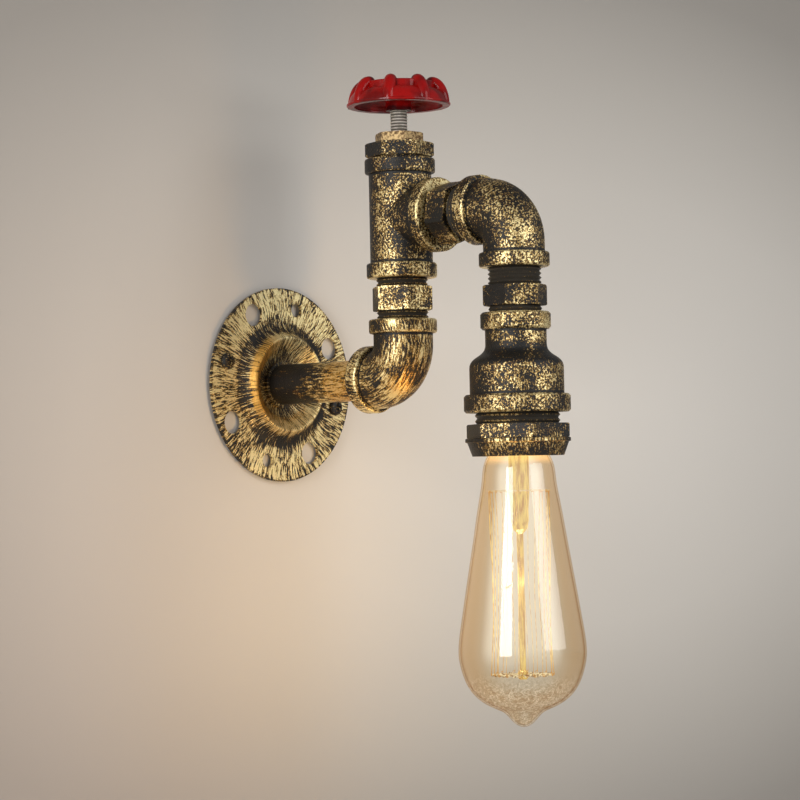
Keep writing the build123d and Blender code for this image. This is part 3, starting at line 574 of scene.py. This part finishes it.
# %% [markdown]
# The bell and the holder under it are the largest castings. Their beads are bright, the sloping
# shoulder is dark, one side of the bell's body has a painted highlight, and the tapering skirt next
# to the bulb is brushed thinly over black.

# %% Bell and holder
bell_low, bell_high = box_of("bell_reducer")
mouth_bead, neck_bead, bushing_crest = 0.0088, 0.0084, 0.0208
bell_beads = box_edges("bell_reducer", "z", mouth_bead, neck_bead)
rim_low, rim_high = box_of("holder_rim")
bushing_top = bell_low.z - 0.0058
bushing_hex = (rim_high.z, bushing_top)
shoulder_low, shoulder_high = bell_high.z - 0.0235, bell_high.z - 0.0170
bell_highlight_spot = (-0.006, drop_y - 0.018, bell_low.z + 0.014)
skirt_lip = 0.0018


# Painted highlight on one side of the bell's body.
def bell_painted_highlight(paint, x, y, z):
    return 2.2 * spot(paint, x, y, z, bell_highlight_spot, 0.013)


def bell_dark(paint, x, y, z):
    return 0.30 * band(paint, z, shoulder_low, shoulder_high, 0.0035)


def bushing_thread(paint, x, y, z):
    crest = soft_step(paint, reach(paint, x, y - drop_y), bushing_crest - 0.0004,
                      bushing_crest)
    return 0.8 * soft_step(paint, z, bushing_top, bushing_top + 0.0004), 1.4 * crest


wear(antique_brass("bell_brass", flow_up, 0.3, 0.40, bell_painted_highlight, bell_dark, edges=bell_beads),
     "bell_reducer")
wear(antique_brass("bushing_brass", flow_up, 0.3, 0.28, corner_wear(drop_y, 0.0240, bushing_corner),
                   thread=bushing_thread, edges=[("z", *bushing_hex, 0)]), "holder_bushing")
wear(antique_brass("skirt_brass", flow_up, 0.8, 0.36,
                   edges=[("z", rim_high.z - skirt_lip, rim_high.z, -1)]), "holder_rim")
wear(antique_brass("screw_brass", flow_out, 0.2, 0.32), "plate_screws")
print("bell from", round(1000 * bell_low.z, 1), "to", round(1000 * bell_high.z, 1))

# %% [markdown]
# ## Bare metals
#
# The gland nut is plain brass, paler than the painted fittings and mottled with tarnish. The stem
# is turned steel with darker roots in its thread. The hidden fasteners are zinc plated, a pale blue
# grey, and the lampholder's contacts are brass. All come from one finish: tarnish in blotches, fine
# marks of turning and, where asked for, rings.

# %% Turned and plated metals
def turned_metal(name, base, worn, rough=0.34, rings=0.0, metallic=1.0, blotch=220.0, roots=None):
    """Metal with marks of turning, rings per metre along z, and tarnish in blotches per metre.
    roots gives the mask of the dark roots of a thread."""
    paint = Paint(name)
    at = place(paint)
    x, y, z = parts_of(paint, at)
    tarnish = grain(paint, at, blotch, 4.0, 0.6)
    scratch = grain(paint, vector_of(paint, x * 300, y * 300, z * 4200), 1.0, 2.0)
    height = scratch if not rings else scratch + 0.8 * grain(
        paint, vector_of(paint, 0.0, 0.0, z * rings), 1.0, 1.0)
    tone = mix(paint, soft_step(paint, tarnish, 0.42, 0.60), base, worn)
    if roots:
        tone = mix(paint, roots(paint, x, y, z), tone, colour(112, 108, 98))
    finish = shader(paint, Base_Color=tone, Metallic=metallic, Roughness=rough + 0.16 * tarnish,
                    Normal=bump(paint, height, 0.00012, 0.5))
    return paint.surface(finish)


stem_root, stem_crest = 0.00418, 0.00440


def stem_roots(paint, x, y, z):
    return 1 - soft_step(paint, reach(paint, x, y - tower_y), stem_root, stem_crest)


wear(turned_metal("gland_brass", colour(186, 158, 110), colour(96, 72, 42), 0.44,
                  metallic=0.6, blotch=620.0), "gland_nut")
wear(turned_metal("stem_steel", colour(246, 242, 232), colour(196, 190, 176), metallic=0.5,
                  roots=stem_roots), "valve_stem", "stem_stop")
wear(turned_metal("zinc_plate", colour(188, 190, 192), colour(150, 152, 155), 0.36),
     "mounting_bracket", "earth_lug", "lead_ferrules", "terminal_screws", "wheel_washer",
     "wheel_screw")
wear(turned_metal("contact_brass", colour(214, 176, 96), colour(168, 130, 66), 0.28),
     "earth_screw", "lampholder_shell", "lampholder_contact", "terminal_blocks")
wear(turned_metal("cap_brass", colour(206, 172, 104), colour(150, 118, 66), 0.30, 600.0),
     "bulb_cap")
wear(turned_metal("solder_grey", colour(150, 150, 152), colour(112, 112, 114), 0.42), "bulb_tip")
print("bare metals finished")

# %% [markdown]
# ## Red handwheel
#
# The wheel is a rough casting under thick red gloss paint. The paint rounds the casting off, so
# its bump is broad and low, and a clear coat gives the small sharp highlights. It is darker in
# patches where the paint pooled, and painted shade darkens it inside the lobes and on the
# underside, which has no clear coat.

# %% Red paint
lobe_in, lobe_out = 0.0170, 0.0200


def red_gloss():
    paint = Paint("red_gloss")
    at = place(paint)
    x, y, z = parts_of(paint, at)
    casting = grain(paint, at, 260.0, 3.0, 0.55)
    pool = grain(paint, at, 90.0, 2.0, 0.5)
    r = reach(paint, x, y - tower_y)
    low, high = box_of("handwheel")
    near_top = soft_step(paint, z, high.z - 0.0085, high.z - 0.0050)
    lobe_shade = (1 - soft_step(paint, r, lobe_in, lobe_out)) * near_top
    underside = 1 - soft_step(paint, z, low.z + 0.0008, low.z + 0.0030)
    # Darker where the paint pooled, plus painted shade inside the lobes and on the underside.
    pool_and_painted_shade = (soft_step(paint, pool, 0.42, 0.66) * 0.6 + 0.9 * lobe_shade + 0.9 * underside).least(1.0)
    base = mix(paint, pool_and_painted_shade, colour(158, 9, 6), colour(62, 3, 5))
    finish = shader(paint, Base_Color=base, Metallic=0.0, Roughness=0.34 + 0.14 * casting,
                    Specular_IOR_Level=0.08, Coat_Weight=0.4 * (1 - underside), Coat_Roughness=0.1,
                    Normal=bump(paint, casting, 0.0009, 0.7))
    return paint.surface(finish)


wear(red_gloss(), "handwheel")
print("wheel top at z", round(1000 * box_of("handwheel")[1].z, 1))

# %% [markdown]
# ## Porcelain and leads
#
# These pieces sit inside the bell and behind the plate, where only a low or rear view finds them.
# Porcelain is white with a soft glaze, the leads have brown, blue and green-yellow insulation,
# and the ring of black glass between the bulb's cap and its tip is glossy.

# %% Plain finishes with a little life in them
def plain_finish(name, base, other, rough, per_metre=350.0, coat=0.0, lift=0.0002):
    paint = Paint(name)
    at = place(paint)
    cloud = grain(paint, at, per_metre, 3.0, 0.55)
    fine = grain(paint, at, per_metre * 6, 2.0, 0.5)
    finish = shader(paint, Base_Color=mix(paint, soft_step(paint, cloud, 0.35, 0.68), base, other),
                    Roughness=rough + 0.12 * cloud, Coat_Weight=coat, Coat_Roughness=0.1,
                    Normal=bump(paint, fine, lift, 0.25))
    return paint.surface(finish)


wear(plain_finish("porcelain", colour(236, 233, 224), colour(222, 217, 204), 0.22, 120.0, 0.5),
     "lampholder_porcelain")
wear(plain_finish("live_insulation", colour(116, 74, 42), colour(98, 60, 34), 0.42), "live_lead")
wear(plain_finish("neutral_insulation", colour(52, 96, 158), colour(40, 80, 138), 0.42),
     "neutral_lead")
wear(plain_finish("black_cap_glass", colour(26, 25, 28), colour(16, 15, 18), 0.12, 200.0, 0.6),
     "bulb_insulator")


def earth_stripe():
    """Green insulation with a yellow stripe along it."""
    paint = Paint("earth_insulation")
    at = place(paint)
    x, y, z = parts_of(paint, at)
    winding = grain(paint, vector_of(paint, x * 500, y * 120, z * 120), 1.0, 0.0)
    stripe = soft_step(paint, winding, 0.47, 0.53)
    finish = shader(paint, Base_Color=mix(paint, stripe, colour(46, 128, 56), colour(226, 204, 52)),
                    Roughness=0.42, Normal=bump(paint, grain(paint, at, 2000.0), 0.0001, 0.2))
    return paint.surface(finish)


wear(earth_stripe(), "earth_lead")
print("hidden pieces finished")

# %% [markdown]
# ## Filament
#
# The bulb has a squirrel cage: one long wire that runs up and down between two rings of hooks.
# In the CAD model it is sixteen straight rods. A real wire is finer, hangs with a slight wave and
# bends back at each hook, so it gets a piece of its own. The strands are made with bmesh: a
# small ring of vertices is extruded upwards, step by step, and each new ring is moved sideways a
# little. A loop at each end takes the strand round its hook. This piece stands in the CAD
# filament's place and turns with the bulb.

# %% Strands and hooks
strand_count = 16
cage_low, cage_high = box_of("bulb_filament")
cage_middle = (cage_low + cage_high) / 2
cad_strand_radius = 0.00025
cage_radius = (cage_high.x - cage_low.x) / 2 - cad_strand_radius
wire_radius, loop_radius = 0.0002, 0.0006
inward_bow, wave = 0.0009, 0.0004
random.seed(11)


def new_piece(name, form, material, body):
    """Turn a bmesh into an object that rides on a CAD body."""
    mesh = bpy.data.meshes.new(name)
    form.to_mesh(mesh)
    form.free()
    piece = bpy.data.objects.new(name, mesh)
    bpy.context.collection.objects.link(piece)
    mesh.materials.append(material)
    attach(piece, body)
    return piece


def bend_wire(form, points, radius, sides=5):
    """Sweep a ring of vertices along points: each step extrudes the last ring and moves it."""
    made = bmesh.ops.create_circle(form, cap_ends=True, radius=radius, segments=sides)
    ring = made["verts"]
    face = ring[0].link_faces[0]
    first = (points[1] - points[0]).to_track_quat("Z", "Y").to_matrix().to_4x4()
    bmesh.ops.transform(form, matrix=Matrix.Translation(points[0]) @ first, verts=ring)
    for before, here in zip(points, points[1:]):
        grown = bmesh.ops.extrude_discrete_faces(form, faces=[face])
        face = grown["faces"][0]
        bmesh.ops.translate(form, vec=here - before, verts=face.verts)
    return form


def strand_path(index):
    """Points of one strand, from its lower to its upper hook, with a slight wave."""
    turn = tau * (index + 0.5) / strand_count
    lean = random.uniform(-0.16, 0.16)
    phase = random.uniform(0, tau)
    steps = 16
    points = []
    for step in range(steps + 1):
        share = step / steps
        swing = turn + lean * (share - 0.5) + 0.02 * sin(phase + 9 * share)
        r = cage_radius - inward_bow * sin(pi * share) + wave * sin(phase + 7 * share)
        z = cage_low.z + share * (cage_high.z - cage_low.z)
        points.append(Vector((r * cos(swing), cage_middle.y + r * sin(swing), z)))
    return hook(points[0], turn, -1) + points + hook(points[-1], turn, 1)


def hook(end, turn, way):
    """A small loop of wire at an end of a strand; way is 1 at its top and -1 at its bottom."""
    along = Vector((-sin(turn), cos(turn), 0))
    up = Vector((0, 0, way))
    bends = [end + loop_radius * (along * (1 - cos(radians(a))) + up * sin(radians(a)))
             for a in range(40, 321, 40)]
    return bends if way > 0 else bends[::-1]


strands = bmesh.new()
for index in range(strand_count):
    bend_wire(strands, strand_path(index), wire_radius)
print("strand vertices", len(strands.verts))

# %% [markdown]
# A hot filament gives light of its own, so its base colour is nearly black and what the eye sees is
# emission. It is pale gold in short runs along the middle of each strand, where the wire is
# hottest, and brown gold between them and near the hooks, which carry heat away. The hooks are no
# lamp, but light is painted on them: an even glow at the top, and painted glints as a crown at the
# bottom.

# %% Glow of the strands and hooks
def glowing_wire():
    paint = Paint("filament_glow")
    at = place(paint)
    z = parts_of(paint, at)[2]
    middle = band(paint, z, cage_low.z + 0.012, cage_high.z - 0.010, 0.012)
    twist = grain(paint, at, 400.0, 2.0)
    glow = mix(paint, soft_step(paint, twist, 0.36, 0.60) * middle, colour(204, 150, 72),
               colour(255, 222, 132))
    finish = shader(paint, Base_Color=mix(paint, twist, colour(22, 15, 8), colour(16, 11, 7)),
                    Metallic=0.0, Roughness=0.5, Specular_IOR_Level=0.1, Emission_Color=glow,
                    Emission_Strength=1.0)
    return paint.surface(finish)


def support_wire():
    """Painted light: a pale glow on the upper hooks, a crown of painted glints on the lower."""
    paint = Paint("support_wire")
    at = place(paint)
    z = parts_of(paint, at)[2]
    glitter = soft_step(paint, grain(paint, at, 700.0, 2.0), 0.42, 0.56)
    painted_glint_crown = mix(paint, glitter, colour(150, 104, 48), colour(255, 240, 196))
    upper = soft_step(paint, z, cage_middle.z - 0.001, cage_middle.z + 0.001)
    # Painted light: the hooks glow though they are no lamp.
    finish = shader(paint, Base_Color=mix(paint, glitter, colour(18, 13, 8), colour(26, 22, 16)),
                    Roughness=0.5, Specular_IOR_Level=0.1, Emission_Strength=0.8,
                    Emission_Color=mix(paint, upper, painted_glint_crown, colour(238, 216, 176)))
    return paint.surface(finish)


filament = new_piece("filament_strands", strands, glowing_wire(), "bulb")
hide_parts("bulb_filament")
wear(support_wire(), "bulb_supports")

# %% [markdown]
# ## Glass
#
# The envelope is thin amber glass. Seen square on it is nearly clear, and towards its edges the
# eye looks through more of it, so the amber deepens to a thin brown limb: Layer Weight gives that.
# A true refracting glass would be slow and would keep the bulb's own light inside, so the body of
# the glass is a see-through shader with three tints. A look through the bulb crosses four
# surfaces, so a tint works up to four times.
#
# A mirror sheen by Fresnel and the curls in the foot belong to the outer face alone. The number of
# see-through surfaces that a ray has crossed tells that face from the others. From behind, the
# wall's back is counted as well, so neither shows there. Three faint glows are added: a pale haze
# in the cage's zone where the glass faces the eye, sparks among the curls, and an ember colour
# close to the holder. The haze follows the eye, so an exported model may lose it.

# %% Amber envelope
glass_low, glass_high = box_of("bulb_glass")


def amber_glass():
    paint = Paint("amber_glass")
    at = place(paint)
    z = parts_of(paint, at)[2]
    turned_away = paint.node("ShaderNodeLayerWeight", None, {"Blend": 0.5}, output=1)
    crossed = paint.node("ShaderNodeLightPath", output=12)
    outer = 1 - soft_step(paint, crossed, 0.2, 0.8)

    foot = (1 - soft_step(paint, z, glass_low.z + 0.016, glass_low.z + 0.030)) * outer
    curls = grain(paint, at, 420.0, 2.0, 0.5, 1.6)
    dark_curls = soft_step(paint, curls, 0.56, 0.60) * foot
    pale_curls = soft_step(paint, curls, 0.36, 0.42) * (1 - soft_step(paint, curls, 0.43, 0.47))
    sparks = pale_curls * foot
    edge = soft_step(paint, turned_away, 0.06, 0.45)
    limb = 0.7 * soft_step(paint, turned_away, 0.66, 0.92) + 0.55 * dark_curls
    body = blend(paint, edge, see_through(paint, 0.988, 0.965, 0.91),
                 see_through(paint, 0.975, 0.91, 0.81))
    body = blend(paint, limb.least(1.0), body, see_through(paint, 0.78, 0.62, 0.44))

    middle = 1 - soft_step(paint, turned_away, 0.12, 0.28)
    zone = band(paint, z, glass_low.z + 0.040, rim_low.z - 0.010, 0.016)
    collar = 0.6 * soft_step(paint, z, rim_low.z - 0.005, rim_low.z - 0.0005)
    body = with_glow(paint, body, middle * zone, (1.0, 0.97, 0.88), 0.075)
    body = with_glow(paint, body, sparks, (1.0, 0.93, 0.74), 0.3)
    body = with_glow(paint, body, collar, (1.0, 0.62, 0.20), 0.25)

    ripple = grain(paint, at, 28.0, 1.0, 0.4)
    gloss = paint.node("ShaderNodeBsdfGlossy", None,
                       {"Color": (1.0, 1.0, 1.0, 1.0), "Roughness": 0.06,
                        "Normal": bump(paint, ripple, 0.001, 0.3)})
    fresnel = paint.node("ShaderNodeFresnel", None, {"IOR": 1.5})
    sheen = (1.3 * fresnel).least(0.14) * outer
    return paint.surface(blend(paint, sheen, body, gloss))


wear(amber_glass(), "bulb_glass")
print("glass length", round(1000 * (glass_high.z - glass_low.z), 1), "mm")

# %% [markdown]
# The glass mount in the middle of the bulb catches the filament's light and looks like honey. Its
# base is dark and partly see-through, and the honey is a glow in streaks along it.

# %% Honey-coloured mount
def honey_glass():
    paint = Paint("honey_glass")
    at = place(paint)
    x, y, z = parts_of(paint, at)
    streak = grain(paint, vector_of(paint, x * 700, y * 700, z * 90), 1.0, 3.0)
    streak = soft_step(paint, streak, 0.40, 0.60)
    honey = mix(paint, streak, colour(250, 218, 110), colour(196, 136, 40))
    finish = shader(paint, Base_Color=mix(paint, streak, colour(44, 32, 14), colour(24, 16, 8)),
                    Roughness=0.08, Alpha=0.7, Emission_Color=honey, Emission_Strength=0.8,
                    Normal=bump(paint, streak, 0.0004, 0.4))
    return paint.surface(finish)


wear(honey_glass(), "bulb_mount")
print("mount from", [round(1000 * v.z, 1) for v in box_of("bulb_mount")])

# %% [markdown]
# ## Wall, floor and light
#
# The lamp hangs on a pale wall. Painted shade darkens the wall towards the corners of the picture,
# and a warm glow of the bulb is painted on it at the left. The wall is one large face just behind
# the bracket. Its back is see-through, so that the lamp can also be looked at from behind, and a
# pale floor lies far below.

# %% Wall and floor
def backdrop(name, size, matrix, material):
    form = bmesh.new()
    bmesh.ops.create_grid(form, x_segments=1, y_segments=1, size=size, matrix=matrix)
    mesh = bpy.data.meshes.new(name)
    form.to_mesh(mesh)
    form.free()
    mesh.materials.append(material)
    sheet = bpy.data.objects.new(name, mesh)
    bpy.context.collection.objects.link(sheet)
    return sheet


def wall_paint():
    paint = Paint("wall_paint")
    at = place(paint)
    x, y, z = parts_of(paint, at)
    # Painted shade: the wall darkens with distance from a point right of the lamp.
    away = reach(paint, (x - 0.26) * 0.46, z + 0.01)
    tone = paint.node("ShaderNodeValToRGB",
                      {"stops": [(0.0, colour(238, 233, 225)), (1.0, colour(138, 133, 125)),
                                 (0.33, colour(214, 209, 201)), (0.50, colour(192, 187, 179)),
                                 (0.68, colour(162, 157, 150))]},
                      {0: away / 0.4})
    # Painted light: a warm pool of the bulb's light, low on the left.
    warm_away = reach(paint, x + 0.16, (z + 0.12) * 0.8)
    painted_bulb_warmth = 0.18 * (1 - soft_step(paint, warm_away, 0.0, 0.30))
    tinted = mix(paint, painted_bulb_warmth, tone, colour(230, 196, 172))
    plaster = grain(paint, at, 60.0, 4.0, 0.6)
    front = shader(paint, Base_Color=tinted, Roughness=0.9,
                   Normal=bump(paint, plaster, 0.0004, 0.15))
    behind = paint.node("ShaderNodeNewGeometry", output=6)
    return paint.surface(blend(paint, behind, front, see_through(paint)))


def floor_paint():
    paint = Paint("floor_paint")
    at = place(paint)
    cloud = grain(paint, at, 3.0, 3.0)
    tone = mix(paint, cloud, colour(214, 208, 200), colour(204, 198, 190))
    return paint.surface(shader(paint, Base_Color=tone, Roughness=0.8))


wall_gap = 0.0004
floor_level = -0.62
upright = Matrix.Translation((0, wall_gap, 0)) @ Matrix.Rotation(radians(90), 4, "X")
backdrop("wall", 4.0, upright, wall_paint())
backdrop("floor", 6.0, Matrix.Translation((0, 0, floor_level)), floor_paint())
print("wall and floor stand")

# %% [markdown]
# A soft lamp on the left draws one broad bright band down each round fitting. A weaker one in
# front opens the shadows, the world gives an even base level, and a small warm lamp inside the bulb
# lights its neighbours. The lamps are low enough that a pale colour renders about as it is written.

# %% Lamps and world
def soft_lamp(name, location, target, size, power, tone=(1, 1, 1)):
    data = bpy.data.lights.new(name, "AREA")
    data.shape = "RECTANGLE"
    data.size, data.size_y = size
    data.energy = power
    data.color = tone
    lamp = bpy.data.objects.new(name, data)
    bpy.context.collection.objects.link(lamp)
    lamp.location = location
    lamp.rotation_mode = "QUATERNION"
    lamp.rotation_quaternion = (Vector(target) - Vector(location)).to_track_quat("-Z", "Y")
    return lamp


soft_lamp("key", (-1.92, -0.49, 0.25), (0, -0.09, 0.0), (0.76, 1.1), 24)
soft_lamp("fill", (0.4, -2.1, 0.5), (0, -0.09, 0.0), (1.7, 1.2), 20)

bulb_light = bpy.data.lights.new("bulb_light", "POINT")
bulb_light.energy = 0.5
bulb_light.color = (1.0, 0.66, 0.27)
bulb_light.shadow_soft_size = 0.014
bulb_lamp = bpy.data.objects.new("bulb_light", bulb_light)
bpy.context.collection.objects.link(bulb_lamp)
bulb_lamp.location = (0.0, cage_middle.y, cage_middle.z)

world = bpy.data.worlds.new("studio")
bpy.context.scene.world = world
world.use_nodes = True
sky = world.node_tree.nodes["Background"]
sky.inputs["Color"].default_value = (0.92, 0.94, 1.0, 1.0)
sky.inputs["Strength"].default_value = 0.25
bpy.context.scene.view_settings.view_transform = "Standard"
